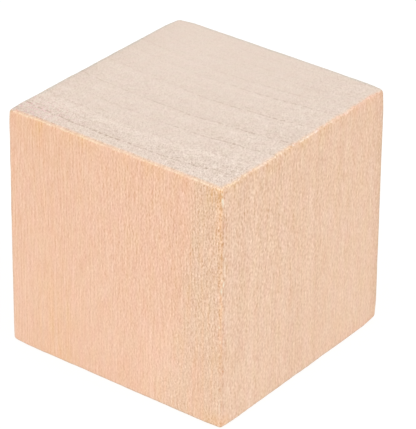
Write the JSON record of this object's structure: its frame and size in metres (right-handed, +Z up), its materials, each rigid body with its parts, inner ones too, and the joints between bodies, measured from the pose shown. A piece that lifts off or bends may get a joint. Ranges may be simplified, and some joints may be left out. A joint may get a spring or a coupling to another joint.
{
  "type": "wooden cube",
  "caption": "Small solid hardwood cube with lightly eased edges and corners, end grain on top, for crafts, counting, spacing or stacking.",
  "frame": {"origin": "centre of the underside, the face it rests on", "axes": "+Z straight up along the grain, out of the end-grain top; +X and +Y square to the long-grain sides"},
  "size_m": [0.025, 0.025, 0.025],
  "materials": {
    "wood": "bare, sanded, unvarnished pale hardwood with fine straight grain"
  },
  "bodies": {
    "root": {"wooden_cube": "wood"}
  },
  "joints": []
}
